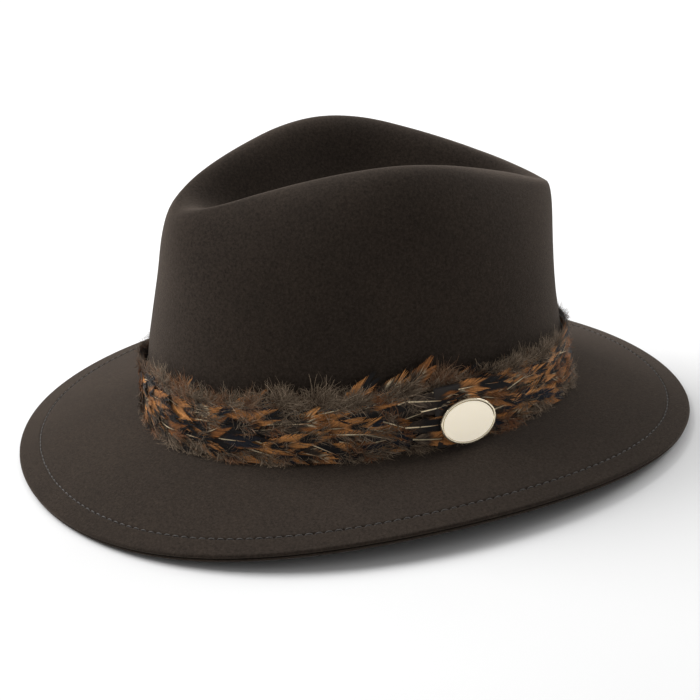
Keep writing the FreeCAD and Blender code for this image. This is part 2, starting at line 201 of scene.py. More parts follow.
def crest_pt(theta):
    position = (theta % TURN) / TURN * CREST_SAMPLES
    i = np.floor(position).astype(int)
    share = (position - i)[..., None]
    return mix(CREST[i % CREST_SAMPLES], CREST[(i + 1) % CREST_SAMPLES], share)


def brim_length(theta):
    return np.linalg.norm(edge_pt(theta) - junction_pt(theta), axis=-1)


def brim_pt(theta, inset):
    # top of the brim, inset from its edge
    edge, junction = edge_pt(theta), junction_pt(theta)
    share = 1.0 - inset / brim_length(theta)
    points = junction + (edge - junction) * share[..., None]
    points[..., 2] += BRIM_BULGE * 4.0 * share * (1 - share)
    return points


def below_brim(theta, inset, depth):
    # depth is measured square to the top of the brim
    round_brim = brim_pt(theta + 0.02, inset) - brim_pt(theta - 0.02, inset)
    inward = brim_pt(theta, inset + 0.5) - brim_pt(theta, inset - 0.5)
    return brim_pt(theta, inset) - unit(np.cross(round_brim, inward)) * depth


def wall_rings(theta):
    junction_z = junction_pt(theta)[..., 2]
    rise = crest_pt(theta)[..., 2] - junction_z
    rings = [np.stack([*oval(theta, *plan, LOW_FULLNESS), junction_z + up], -1)
             for up, *plan in WALL_LOW]
    return rings + [np.stack([*oval(theta, *plan), junction_z + share * rise], -1)
                    for share, *plan in WALL_UP]


def dent_rings(theta):
    crest = crest_pt(theta)
    sin = np.sin(theta)
    rings = []
    for side, front, back, drop in DENT:
        reach_y = lerp(side, np.where(sin < 0, front, back), sin * sin)
        rings.append(np.stack([crest[..., 0] * side,
                               DENT_CENTRE[1] + (crest[..., 1] - DENT_CENTRE[1]) * reach_y,
                               lerp(crest[..., 2], DENT_CENTRE[2], drop)], -1))
    return rings


def grid_normals(rings):
    # rings (rows, columns, 3), columns closed
    down_rows = np.empty_like(rings)
    down_rows[1:-1] = rings[2:] - rings[:-2]
    down_rows[0] = rings[1] - rings[0]
    down_rows[-1] = rings[-1] - rings[-2]
    round_ring = np.roll(rings, -1, 1) - np.roll(rings, 1, 1)
    return unit(np.cross(round_ring, down_rows), 1e-9)


# ------------------------------------------------------------------ mesh tools
def make_mesh(name, verts, quads, tris=(), colours=None, smooth=True):
    verts = np.asarray(verts, np.float64) * MM
    quads = np.asarray(quads, np.int64).reshape(-1, 4)
    tris = np.asarray(tris, np.int64).reshape(-1, 3)
    mesh = bpy.data.meshes.new(name)
    mesh.vertices.add(len(verts))
    mesh.vertices.foreach_set("co", verts.astype(np.float32).ravel())
    mesh.loops.add(quads.size + tris.size)
    corners = np.concatenate([quads.ravel(), tris.ravel()]).astype(np.int32)
    mesh.loops.foreach_set("vertex_index", corners)
    mesh.polygons.add(len(quads) + len(tris))
    starts = np.concatenate([np.arange(len(quads)) * 4, quads.size + np.arange(len(tris)) * 3])
    mesh.polygons.foreach_set("loop_start", starts.astype(np.int32))
    mesh.update(calc_edges=True)
    mesh.validate()
    if smooth:
        mesh.polygons.foreach_set("use_smooth", np.ones(len(mesh.polygons), bool))
    if colours is not None:
        attribute = mesh.color_attributes.new(name="Col", type="FLOAT_COLOR", domain="POINT")
        rgba = np.ones((len(verts), 4), np.float32)
        rgba[:, :3] = colours
        attribute.data.foreach_set("color", rgba.ravel())
    ob = bpy.data.objects.new(name, mesh)
    bpy.context.scene.collection.objects.link(ob)
    return ob


def declare(ob, replaced, body):
    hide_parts(replaced)
    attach(ob, body)


def piece(name, shape, material, replaced, body=HAT, tris=(), colours=None):
    # shape is (verts, quads)
    ob = make_mesh(name, *shape, tris=tris, colours=colours)
    ob.data.materials.append(material)
    declare(ob, replaced, body)


def grid_quads(rows, columns, closed_rows=False, closed_columns=True, base=0, flip=False):
    i = np.arange(rows if closed_rows else rows - 1)[:, None]
    j = np.arange(columns if closed_columns else columns - 1)[None, :]
    this_row, next_row = i * columns, (i + 1) % rows * columns
    across = (j + 1) % columns
    quads = np.stack([this_row + j, this_row + across, next_row + across, next_row + j], -1)
    quads = quads.reshape(-1, 4) + base
    return quads[:, ::-1] if flip else quads


def grid_shape(rings, closed_rows=False, flip=False):
    rings = np.asarray(rings)
    return rings.reshape(-1, 3), grid_quads(*rings.shape[:2], closed_rows, flip=flip)


def join(parts):
    # parts are (verts, quads) with anything after
    verts, quads, base = [], [], 0
    for part_verts, part_quads, *_ in parts:
        verts.append(part_verts)
        quads.append(part_quads + base)
        base += len(part_verts)
    return np.concatenate(verts), np.concatenate(quads)


def tube(path, radius, sides=6, closed=False):
    # radius is one value or one for each point of the path
    path = np.asarray(path, float)
    if closed:
        tangent = np.roll(path, -1, 0) - np.roll(path, 1, 0)
    else:
        tangent = np.gradient(path, axis=0)
    tangent = unit(tangent, 1e-9)
    across = np.cross(tangent, [0.0, 0.0, 1.0])
    length = np.linalg.norm(across, axis=1, keepdims=True)
    across = np.where(length < 1e-3, [[1.0, 0, 0]], across / np.maximum(length, 1e-9))
    other = np.cross(tangent, across)
    radii = np.broadcast_to(np.asarray(radius, float), (len(path),))[:, None, None]
    angle = np.linspace(0, TURN, sides, endpoint=False)[None, :, None]
    rings = path[:, None, :] + radii * (np.cos(angle) * across[:, None, :]
                                        + np.sin(angle) * other[:, None, :])
    return grid_shape(rings, closed_rows=closed)


# ------------------------------------------------------------------ materials
class Shader:
    """A new material with its Principled node and object coordinates."""

    def __init__(self, name):
        self.material = bpy.data.materials.new(name)
        self.material.use_nodes = True
        self.tree = self.material.node_tree
        self.surface = self.tree.nodes["Principled BSDF"]
        self.coords = self.node("ShaderNodeTexCoord").outputs["Object"]

    def node(self, kind, inputs=None, **properties):
        made = self.tree.nodes.new(kind)
        for key, value in properties.items():
            setattr(made, key, value)
        for key, value in (inputs or {}).items():
            made.inputs[key].default_value = value
        return made

    def link(self, source, target):
        self.tree.links.new(source, target)

    def drive(self, source, surface_input):
        self.link(source, self.surface.inputs[surface_input])

    def set(self, values):
        for key, value in values.items():
            self.surface.inputs[key].default_value = value

    def texture(self, kind, inputs, **properties):
        made = self.node(kind, inputs, **properties)
        self.link(self.coords, made.inputs["Vector"])
        return made

    def noise(self, scale, detail, roughness=0.5):
        inputs = {"Scale": scale, "Detail": detail, "Roughness": roughness}
        return self.texture("ShaderNodeTexNoise", inputs).outputs["Fac"]

    def ramp(self, factor, stops):
        # stops are (position, rgb)
        made = self.node("ShaderNodeValToRGB")
        elements = made.color_ramp.elements
        while len(elements) < len(stops):
            elements.new(0.5)
        for element, (position, colour) in zip(elements, stops):
            element.position = position
            element.color = (*colour, 1.0)
        self.link(factor, made.inputs["Fac"])
        return made.outputs["Color"]

    def multiply(self, first, second, factor):
        made = self.node("ShaderNodeMix", data_type="RGBA", blend_type="MULTIPLY")
        made.inputs["Factor"].default_value = factor
        self.link(first, made.inputs["A"])
        self.link(second, made.inputs["B"])
        return made.outputs["Result"]

    def multiply_add(self, value, factor, addend=None):
        made = self.node("ShaderNodeMath", {1: factor}, operation="MULTIPLY_ADD")
        self.link(value, made.inputs[0])
        if addend is None:
            made.inputs[2].default_value = 0.0
        else:
            self.link(addend, made.inputs[2])
        return made.outputs[0]

    def bump(self, height, strength, distance):
        # distance is in metres
        made = self.node("ShaderNodeBump", {"Strength": strength, "Distance": distance})
        self.link(height, made.inputs["Height"])
        self.drive(made.outputs["Normal"], "Normal")


def grey(level):
    return (level,) * 3


def felt_material():
    dark = (0.0105, 0.0074, 0.0054)
    light = (0.047, 0.0350, 0.0265)
    shader = Shader("felt")
    fibres = shader.noise(scale=760.0, detail=5.0, roughness=0.70)
    fuzz = shader.noise(scale=2400.0, detail=3.0, roughness=0.75)
    patches = shader.noise(scale=30.0, detail=3.0)
    nap = shader.multiply_add(fuzz, 0.45, shader.multiply_add(fibres, 0.55))
    middle = [lerp(*pair, 0.45) for pair in zip(dark, light)]
    colour = shader.ramp(nap, [(0.36, dark), (0.50, middle), (0.66, light)])
    tint = shader.ramp(patches, [(0.3, (0.80, 0.80, 0.82)), (0.7, (1.15, 1.12, 1.10))])
    shader.drive(shader.multiply(colour, tint, factor=0.5), "Base Color")
    shader.set({"Roughness": 0.95, "Specular IOR Level": 0.12, "Sheen Weight": 0.24,
                "Sheen Roughness": 0.38, "Sheen Tint": (0.64, 0.52, 0.43, 1)})
    shader.bump(nap, strength=0.62, distance=0.0004)
    return shader.material


def point_colour_material(name, rough, variation, scale, sheen, specular):
    # colour comes from the mesh points, broken up by noise
    shader = Shader(name)
    points = shader.node("ShaderNodeAttribute", attribute_name="Col").outputs["Color"]
    noise = shader.noise(scale=scale, detail=3.0, roughness=0.6)
    shade = shader.ramp(noise, [(0.3, grey(1 - variation)), (0.7, grey(1 + variation))])
    shader.drive(shader.multiply(points, shade, factor=1.0), "Base Color")
    shader.set({"Roughness": rough, "Specular IOR Level": specular, "Sheen Weight": sheen,
                "Sheen Roughness": 0.4})
    return shader.material


def thread_material(name, dark, light):
    shader = Shader(name)
    noise = shader.noise(scale=2500.0, detail=2.0)
    shader.drive(shader.ramp(noise, [(0.35, dark), (0.65, light)]), "Base Color")
    shader.set({"Roughness": 0.6, "Sheen Weight": 0.3})
    shader.bump(noise, strength=0.5, distance=0.0002)
    return shader.material


def leather_material(name, dark, light, rough, grain):
    shader = Shader(name)
    cells = shader.texture("ShaderNodeTexVoronoi", {"Scale": grain}, feature="DISTANCE_TO_EDGE")
    noise = shader.noise(scale=120.0, detail=4.0)
    shader.drive(shader.ramp(noise, [(0.3, dark), (0.7, light)]), "Base Color")
    roughness = shader.ramp(noise, [(0.3, grey(rough - 0.08)), (0.7, grey(rough + 0.12))])
    shader.drive(roughness, "Roughness")
    shader.bump(cells.outputs["Distance"], strength=0.35, distance=0.0003)
    return shader.material


def weave_material(name, dark, light, rough, scale, sheen, bump=0.25):
    shader = Shader(name)
    wave = shader.texture("ShaderNodeTexWave",
                          {"Scale": scale / 3, "Distortion": 0.6, "Detail": 1.0},
                          wave_type="BANDS", bands_direction="Z").outputs["Fac"]
    noise = shader.noise(scale=60.0, detail=4.0)
    cloth = shader.multiply_add(wave, 0.35, noise)
    shader.drive(shader.ramp(cloth, [(0.35, dark), (0.95, light)]), "Base Color")
    shader.set({"Roughness": rough, "Sheen Weight": sheen})
    shader.bump(wave, strength=bump, distance=0.0002)
    return shader.material


def metal_material(name, dark, light, rough, metallic=1.0, scale=300.0, painted_glow=None):
    shader = Shader(name)
    noise = shader.noise(scale=scale, detail=4.0, roughness=0.6)
    shader.drive(shader.ramp(noise, [(0.3, dark), (0.7, light)]), "Base Color")
    roughness = shader.ramp(noise, [(0.3, grey(rough * 0.8)), (0.7, grey(rough * 1.25))])
    shader.drive(roughness, "Roughness")
    shader.set({"Metallic": metallic})
    # painted_glow holds emission inputs: painted light that makes the surface glow though it is
    # no lamp
    if painted_glow:
        shader.set(painted_glow)
    return shader.material


# ------------------------------------------------------------------ felt body
COLUMNS = 720
THETA = np.linspace(0, TURN, COLUMNS, endpoint=False)
STITCH_IN = 11.0        # from the brim edge to the line of stitches
STITCH_PITCH = 4.3
WIRE_IN = 2.9           # from the brim edge to the wire
# Rings near the brim edge: inset, how much thinner the felt is (most over the wire)
EDGE_RINGS = [(0.55, FELT * 0.2), (1.6, 0.45), (WIRE_IN, 0.62), (4.2, 0.45), (6.0, 0.0),
              (8.2, 0.0), (9.6, 0.0)]
# Groove under the stitches: distance from their line, depth
GROOVE = [(-0.65, 0.02), (-0.25, 0.45), (0.0, 0.8), (0.25, 0.45), (0.65, 0.02)]
# Rings on the rest of the brim: insets, then shares of the way to the crown
BRIM_INSETS = (12.6, 14.5)
BRIM_SHARES = (0.30, 0.38, 0.47, 0.56, 0.65, 0.74, 0.82, 0.89, 0.945, 0.98)
EDGE_ROUNDING = 0.35

stitch_arc = running_length(brim_pt(np.append(THETA, TURN), STITCH_IN))
stitch_line = stitch_arc[-1]
stitch_count = int(round(stitch_line / STITCH_PITCH))


def lowered(points, depth):
    points = points.copy()
    points[..., 2] -= depth
    return points


def felt_rings():
    # 1 at a needle hole, 0 midway between two
    hole = 0.5 + 0.5 * np.cos(TURN * (stitch_arc[:-1] / stitch_line * stitch_count))
    rings = [brim_pt(THETA, inset) for inset, _ in EDGE_RINGS]
    rings += [lowered(brim_pt(THETA, STITCH_IN + offset), depth * (0.65 + 0.5 * hole))
              for offset, depth in GROOVE]
    rings += [brim_pt(THETA, inset) for inset in BRIM_INSETS]
    rings += [brim_pt(THETA, share * brim_length(THETA)) for share in BRIM_SHARES]
    top = np.array(rings + [junction_pt(THETA)] + wall_rings(THETA) + [crest_pt(THETA)]
                   + dent_rings(THETA))
    thickness = np.full(len(top), FELT)
    thickness[:len(EDGE_RINGS)] -= [thinning for _, thinning in EDGE_RINGS]
    under = top - grid_normals(top) * thickness[:, None, None]
    edge = brim_pt(THETA, 0.0)
    dent_top = np.tile(DENT_CENTRE, (COLUMNS, 1))
    # from the middle of the dent out over the top, round the edge and back underneath
    control = np.concatenate([[dent_top], top[::-1], [lowered(edge, EDGE_ROUNDING)],
                              [lowered(edge, FELT - EDGE_ROUNDING)], under,
                              [lowered(dent_top, FELT)]])
    return bspline_open(control, 2)[2:-2]


def felt_shell():
    rings = felt_rings()
    verts, quads = grid_shape(rings)
    top_centre, under_centre = len(verts), len(verts) + 1
    verts = np.concatenate([verts, [rings[0].mean(0)], [rings[-1].mean(0)]])
    j = np.arange(COLUMNS)
    following = (j + 1) % COLUMNS
    last = (len(rings) - 1) * COLUMNS
    tris = np.concatenate([
        np.stack([np.full(COLUMNS, top_centre), following, j], -1),
        np.stack([np.full(COLUMNS, under_centre), last + j, last + following], -1)])
    piece("felt_shell", (verts, quads), FELT_M, "felt_body", tris=tris)


FELT_M = felt_material()
felt_shell()

# ------------------------------------------------------------------ fold under the brim edge
WELT_THETA = THETA[::2]
WELT_TOP = FELT + WELT_GAP
# Section, closed: inset from the brim edge, depth below WELT_TOP; it bows down at the wire
WELT_SECTION = [
    (0.4, 0.05), (1.2, 0.1), (1.8, 0.55), (WIRE_IN, 0.62), (4.0, 0.55), (4.7, 0.1), (6.5, 0.0),
    (9.5, 0.0), (11.5, 0.0), (12.5, 0.0), (12.5, 0.3), (12.5, WELT - 0.3), (12.2, WELT),
    (11.0, WELT - 0.5), (9.5, WELT), (6.0, WELT), (3.0, WELT), (1.2, WELT), (0.1, WELT - 0.2),
    (-0.15, 0.6), (0.0, 0.1)]
welt_rings = bspline_closed([below_brim(WELT_THETA, inset, WELT_TOP + depth)
                             for inset, depth in WELT_SECTION], 2)
piece("welt_fold", grid_shape(welt_rings, closed_rows=True), FELT_M, "brim_underwelt")

# ------------------------------------------------------------------ brim edge stitches
THREAD_M = thread_material("edge_thread", (0.012, 0.009, 0.007), (0.050, 0.039, 0.031))
STITCH_HALF = 0.38      # half a stitch, as a share of the pitch
STITCH_SINK = 0.12
STITCH_LIFT = np.array([-0.55, -0.12, 0.05, 0.10, 0.05, -0.12, -0.55])
STITCH_RADII = [0.16, 0.24, 0.26, 0.27, 0.26, 0.24, 0.16]


def edge_stitches():
    fine_theta = np.linspace(0, TURN, 7200, endpoint=False)
    fine_arc = np.interp(fine_theta, np.append(THETA, TURN), stitch_arc)
    parts = []
    for i in range(stitch_count):
        start = (i + 0.5 - STITCH_HALF) * stitch_line / stitch_count
        end = (i + 0.5 + STITCH_HALF) * stitch_line / stitch_count
        theta = np.interp(np.linspace(start, end, 7), fine_arc, fine_theta)
        path = brim_pt(theta, STITCH_IN + rng.normal(0, 0.06))
        path[:, 2] += STITCH_LIFT - STITCH_SINK
        parts.append(tube(path, STITCH_RADII))
    piece("edge_stitches", join(parts), THREAD_M, "brim_edge_stitching")


edge_stitches()

# ------------------------------------------------------------------ wall co-ordinates
# Pieces on the crown wall are placed by (along, up, out): along the wall from theta 0,
# above the junction, and outward from the wall's outer surface.
WALL_STEPS = 1440
WALL_UPS = np.arange(-8.0, 80.0, 1.0)
WALL_THETA = np.linspace(-math.pi, math.pi, WALL_STEPS + 1)
ARC_UP = 15.0           # height at which lengths along the wall are measured


def wall_grid():
    junction = junction_pt(WALL_THETA)
    rings = np.array([junction] + wall_rings(WALL_THETA))
    grid = np.zeros((len(WALL_UPS), len(WALL_THETA), 3))
    for i, up in enumerate(WALL_UPS):
        # below 5 mm the wall goes straight down
        z = junction[:, 2] + max(up, 5.0)
        for j in range(len(WALL_THETA)):
            for axis in (0, 1):
                grid[i, j, axis] = np.interp(z[j], rings[:, j, 2], rings[:, j, axis])
        grid[i, :, 2] = junction[:, 2] + up
    return grid


def wall_normals():
    tangent = np.gradient(WALL, axis=1)
    tangent[:, 0] = tangent[:, -1] = WALL[:, 1] - WALL[:, -2]
    flat = np.zeros(tangent.shape[:2])
    return unit(np.stack([tangent[..., 1], -tangent[..., 0], flat], -1))


WALL = wall_grid()
WALL_OUT = wall_normals()
WALL_ARC = running_length(WALL[int(np.argmin(abs(WALL_UPS - ARC_UP)))])
WALL_LENGTH = WALL_ARC[-1]
ARC_START = np.interp(0.0, WALL_THETA, WALL_ARC)


def along_at(theta):
    return float(np.interp(theta, WALL_THETA, WALL_ARC) - ARC_START)


def theta_at(along):
    return np.interp((np.asarray(along) + ARC_START) % WALL_LENGTH, WALL_ARC, WALL_THETA)


def wall_pt(along, up, out):
    column = (theta_at(along) + math.pi) / TURN * WALL_STEPS
    i = np.clip(column.astype(int), 0, WALL_STEPS - 1)
    column_share = (column - i)[..., None]
    row = np.clip(np.asarray(up, float) - WALL_UPS[0], 0, len(WALL_UPS) - 1.001)
    j = row.astype(int)
    row_share = (row - j)[..., None]

    def sample(field):
        return mix(mix(field[j, i], field[j, i + 1], column_share),
                   mix(field[j + 1, i], field[j + 1, i + 1], column_share), row_share)
    return sample(WALL) + sample(WALL_OUT) * np.asarray(out)[..., None]


BAND_COLUMNS = 360
BAND_ALONG = np.linspace(-WALL_LENGTH / 2, WALL_LENGTH / 2, BAND_COLUMNS, endpoint=False)
PLEATS = 60
PLEAT_WAVE = np.sin(np.arange(BAND_COLUMNS) / BAND_COLUMNS * TURN * PLEATS)


def level_ring(up, out):
    return wall_pt(BAND_ALONG, np.full(BAND_COLUMNS, up), out + np.zeros(BAND_COLUMNS))


def band(bottom, top, first_out, second_out, rows, pleat=0.0, flip=False):
    # up one face and down the other; pleats deepen towards the top
    ups = np.linspace(bottom, top, rows)
    rings = [level_ring(up, out - pleat * PLEAT_WAVE * ((up - bottom) / (top - bottom)))
             for out, order in ((first_out, ups), (second_out, ups[::-1])) for up in order]
    return grid_shape(rings, closed_rows=True, flip=flip)


def slab(along, up, out, columns, rows, rounding, bulge=0.0, pucker=0.0, side=1.0):
    # a strap that follows the wall; side is 1 outside the wall and -1 inside it
    share_along, share_up = np.meshgrid(np.linspace(0, 1, columns), np.linspace(0, 1, rows),
                                        indexing="ij")
    near_end = np.minimum(share_along, 1 - share_along) * abs(along[1] - along[0])
    near_rim = np.minimum(share_up, 1 - share_up) * abs(up[1] - up[0])
    depth_in = np.clip(np.minimum(near_end, near_rim) / rounding, 0, 1)
    round_over = np.sqrt(np.clip(1 - (1 - depth_in) ** 2, 0, 1))
    thickness = 0.25 + 0.75 * round_over
    middle = (out[0] + out[1]) / 2
    waves = np.sin(share_up * 9.0 + share_along * 3) * 0.5 + np.sin(share_along * 14.0) * 0.5
    outer = (middle + (out[1] - middle) * thickness
             + bulge * np.sin(np.pi * share_along) * np.sin(np.pi * share_up)
             + pucker * waves * round_over)
    inner = middle - (middle - out[0]) * thickness
    place = lerp(*along, share_along), lerp(*up, share_up)
    verts = np.concatenate([wall_pt(*place, side * face).reshape(-1, 3)
                            for face in (outer, inner)])
    count = columns * rows
    rim = np.array([i * rows for i in range(columns)]
                   + [(columns - 1) * rows + j for j in range(1, rows)]
                   + [i * rows + rows - 1 for i in range(columns - 2, -1, -1)]
                   + list(range(rows - 2, 0, -1)))
    following = np.roll(rim, -1)
    quads = [grid_quads(columns, rows, False, False),
             grid_quads(columns, rows, False, False, base=count, flip=True),
             np.stack([rim, rim + count, following + count, following], -1)]
    return verts, np.concatenate(quads)


# ------------------------------------------------------------------ ribbon under the feathers
RIBBON_M = weave_material("grosgrain", (0.006, 0.0042, 0.0034), (0.017, 0.012, 0.009),
                          rough=0.75, scale=2600.0, sheen=0.03)
piece("grosgrain_ribbon", band(4.5, 23.5, 0.60, 1.20, rows=8), RIBBON_M,
      "wrap_backing_ribbon", WRAP)

# ------------------------------------------------------------------ feathers
ORANGE_DARK = np.array([0.235, 0.083, 0.020])
ORANGE_LIGHT = np.array([0.500, 0.225, 0.072])
RUST = np.array([0.150, 0.043, 0.014])
BLACK = np.array([0.0095, 0.0080, 0.0085])
BLUE = np.array([0.011, 0.014, 0.024])
GREY = np.array([0.112, 0.080, 0.054])
GREY_LIGHT = np.array([0.290, 0.222, 0.158])
BROWN = np.array([0.042, 0.028, 0.019])
CREAM = np.array([0.600, 0.490, 0.320])

BADGE_ALONG = along_at(math.radians(8.6))
BADGE_UP = 11.8

BARBS = 24              # on each side of a shaft
FEATHER_SPACING = 8.4
FEATHER_KINDS = {"rust": 0.46, "black": 0.19, "barred": 0.19, "down": 0.16}     # shares
# Rows of feathers: object, piece replaced, courses of (up, angle, shift in spacings)
FEATHER_ROWS = [("vanes_upper", "feathers_upper_row", [(22.0, 0.20, 0.0), (16.5, 0.10, 0.45)]),
                ("vanes_middle", "feathers_middle_row", [(12.0, 0.0, 0.2), (8.0, -0.06, 0.7)]),
                ("vanes_lower", "feathers_lower_row", [(3.5, -0.14, 0.45)])]
# Feathers over the ends of the strap: along from the badge, up, out, angle
STRAP_FEATHERS = [(-25, 26.0, 6.6, -0.10), (-20, 20.5, 7.2, 0.10), (-27, 14.0, 6.8, -0.06),
                  (-22, 8.0, 7.0, -0.16), (-9, 27.5, 7.4, 0.05), (2, 28.0, 7.6, -0.05),
                  (-14, 28.5, 7.4, -0.12)]


def paint(base, over, amount):
    return mix(base, over, amount[..., None])


def vane_colour(x, y, kind, tone, look):
    # x runs 0 at the root to 1 at the tip, y -1 to 1 across
    across = abs(y)
    orange = mix(ORANGE_DARK, ORANGE_LIGHT, tone)
    if kind == "rust":
        # grey root, brown, then orange that is lighter at the edges
        colour = paint(GREY, BROWN, ease(x, 0.22, 0.42))
        edge = ease(across, 0.35, 1.0)[..., None]
        colour = paint(colour, orange * (0.72 + 0.5 * edge),
                       ease(x + 0.10 * across, 0.40, 0.56))
        # black down the middle, and a dark wedge that widens to the tip
        core = ease(0.20 - across, -0.05, 0.10) * ease(0.66 - x, -0.03, 0.05)
        colour = paint(colour, BLACK, core)
        start = look["wedge_start"]
        wedge_half = 0.14 + look["wedge"] * np.clip(x - start, 0, 1)
        wedge = ease(x, start, start + 0.05) * ease(wedge_half - across, -0.05, 0.05)
        return paint(colour, mix(BLACK, BLUE, look["blue"]), wedge)
    if kind == "black":
        # brown root, dark vane, orange edges at the tip
        colour = paint(BROWN, mix(BLACK, BLUE * 1.3, look["blue"]), ease(x, 0.30, 0.50))
        return paint(colour, orange * 0.9, ease(across, 0.62, 0.85) * ease(x, 0.55, 0.7))
    if kind == "barred":
        # brown with a cream U near the tip and orange beyond it
        colour = paint(GREY * 0.8, BROWN * 0.9, ease(x, 0.3, 0.45))
        radius = np.sqrt((across / 0.55) ** 2 + ((x - 0.70) / 0.20) ** 2)
        colour = paint(colour, CREAM * 0.85, bell(radius, 1.0, 0.13) * ease(x, 0.60, 0.72))
        return paint(colour, orange * 0.8, ease(radius, 1.15, 1.4) * ease(x, 0.6, 0.8))
    return paint(GREY, GREY_LIGHT, ease(across, 0.4, 1.0))


def add_strips(parts, lines, half_width, colours):
    # flat strips along centre lines (count, points, 3) in wall co-ordinates
    count, points = lines.shape[:2]
    tangent = np.gradient(lines, axis=1)
    side = unit(np.stack([-tangent[..., 1], tangent[..., 0], np.zeros((count, points))], -1),
                1e-6)
    offset = side * half_width[..., None]
    verts = np.stack([lines - offset, lines + offset], 2).reshape(-1, 3)
    start = np.arange(count)[:, None] * (points * 2) + np.arange(points - 1)[None, :] * 2
    quads = np.stack([start, start + 2, start + 3, start + 1], -1).reshape(-1, 4)
    parts.append((verts, quads, np.repeat(colours[:, :, None, :], 2, 2).reshape(-1, 3)))


def brim_below(out):
    # up of the brim's top under the wrap, by distance off the wall
    out = np.maximum(out, 0.0)
    share = out / 62.0
    return (-out * 0.20 + 4 * BRIM_BULGE * share * (1 - share) + 0.75
            + 2.2 * np.exp(-out / 2.2))


def lay_on_wall(along, up, out):
    # thinner away from the strap, and nothing stands through the badge
    off_badge = along - BADGE_ALONG
    out = 0.6 + (out - 0.6) * (1 - 0.14 * ease(np.abs(off_badge), 24.0, 34.0))
    behind_badge = (off_badge / 17.0) ** 2 + ((up - BADGE_UP) / 13.5) ** 2 < 1
    out = np.where(behind_badge, np.minimum(out, 8.8), out)
    # lower towards the back on the +X side and towards the front on the -X side
    degrees = np.degrees(theta_at(along))
    sides = bell(degrees, 76, 24.0) + bell(degrees, -117, 24.0)
    up = up - sides * 0.48 * np.maximum(up - 24.0, 0.0)
    # just past those it lies closer to the felt, and it stays low beyond
    turns = bell(degrees, 100, 20.0) + bell(degrees, -142, 20.0)
    up = up - turns * 0.5 * np.maximum(up - 20.0, 0.0)
    out = 0.6 + (out - 0.6) * (1 - 0.45 * turns)
    beyond = (degrees > 84) | (degrees < -124)
    up = np.where(beyond & (up > 35.0), 35.0 + 0.35 * (up - 35.0), up)
    up = np.maximum(up, brim_below(out) + 0.15)
    return wall_pt(along, up, out)


def build_plumage(name, parts, material, replaced):
    verts, quads = join(parts)
    colours = np.concatenate([part[2] for part in parts])
    contrast = np.clip(0.74 + 2.6 * colours[:, :1], 0.74, 1.42)
    piece(name, (lay_on_wall(*verts.T), quads), material, replaced, WRAP,
          colours=colours * contrast)


def add_feather(parts, along, up, out, angle, length, half_width, kind):
    tone = float(np.clip(rng.normal(0.42, 0.3), 0, 1))
    look = dict(wedge=rng.uniform(0.7, 1.5), wedge_start=rng.uniform(0.66, 0.80),
                blue=float(rng.random() < 0.35) * rng.uniform(0.4, 1))
    root = np.linspace(0.05, 0.96, BARBS)       # where each barb leaves the shaft
    rise = rng.uniform(2.2, 3.4)
    cup = rng.uniform(0.3, 1.3)
    bend = rng.normal(0, 1.6)
    roll = rng.normal(0, 0.10)

    def place(x, y, lift):
        y = y + bend * (x / length) ** 2
        return np.stack([along + x * math.cos(angle) - y * math.sin(angle),
                         up + x * math.sin(angle) + y * math.cos(angle), lift], -1)

    share = np.array([0.0, 0.34, 0.68, 1.0])    # along a barb
    for side in (-1, 1):
        # barb angles, with splits in the vane
        lean = np.radians(lerp(50, 17, root) + rng.normal(0, 1.2, BARBS))
        clump = np.cumsum(rng.random(BARBS) < 0.16)
        lean += np.radians(rng.normal(0, 4.0, clump[-1] + 1))[clump]
        if kind == "down":
            lean += np.radians(rng.normal(6, 14, BARBS))
        reach = half_width * np.interp(root, [0, 0.25, 0.5, 0.75, 0.9, 1.0],
                                       [0.55, 0.85, 1.0, 0.98, 0.78, 0.5])
        reach *= rng.normal(1, 0.05, BARBS)
        # each barb curls towards the tip
        turned = lean[:, None] * (1 - 0.45 * share[None, :])
        middle = (turned[:, 1:] + turned[:, :-1]) / 2
        step = np.diff(share)[None, :]
        start = np.zeros((BARBS, 1))
        forward = np.concatenate([start, np.cumsum(np.cos(middle) * step, 1)], 1)
        sideways = np.concatenate([start, np.cumsum(np.sin(middle) * step, 1)], 1)
        barb = np.minimum(reach / np.maximum(sideways[:, -1], 0.2), length * 0.42)
        barb *= 1 - 0.35 * ease(root, 0.80, 1.0)
        x = length * root[:, None] + forward * barb[:, None]
        y = side * sideways * barb[:, None]
        x_share, y_share = x / length, y / half_width
        lift = (out + rise * x_share - cup * y_share ** 2 + roll * y
                + rng.normal(0, 0.07, (BARBS, 1)) + rng.normal(0, 0.05, x.shape))
        spacing = length * 0.91 / BARBS * np.sin(np.maximum(lean, 0.35))
        strip_half = spacing[:, None] * np.array([0.60, 0.72, 0.66, 0.16])[None, :]
        if kind == "down":
            strip_half *= 0.42
        colours = vane_colour(x_share, y_share, kind, tone, look)
        colours = (colours * rng.normal(1, 0.16, (BARBS, 1, 1))
                   * rng.normal(1, 0.05, (BARBS, 4, 1)))
        add_strips(parts, place(x, y, lift), strip_half, np.clip(colours, 0.002, 1))
    # shaft, cream at the root and orange at the tip
    share = np.linspace(0.0, 0.86, 7)
    cream = CREAM * rng.uniform(0.5, 1.15)
    colours = paint(cream, ORANGE_DARK * 0.8, ease(share, 0.45, 0.85))
    add_strips(parts, place(length * share, 0.0, out + rise * share + 0.16)[None],
               np.linspace(0.34, 0.10, 7)[None], colours[None])


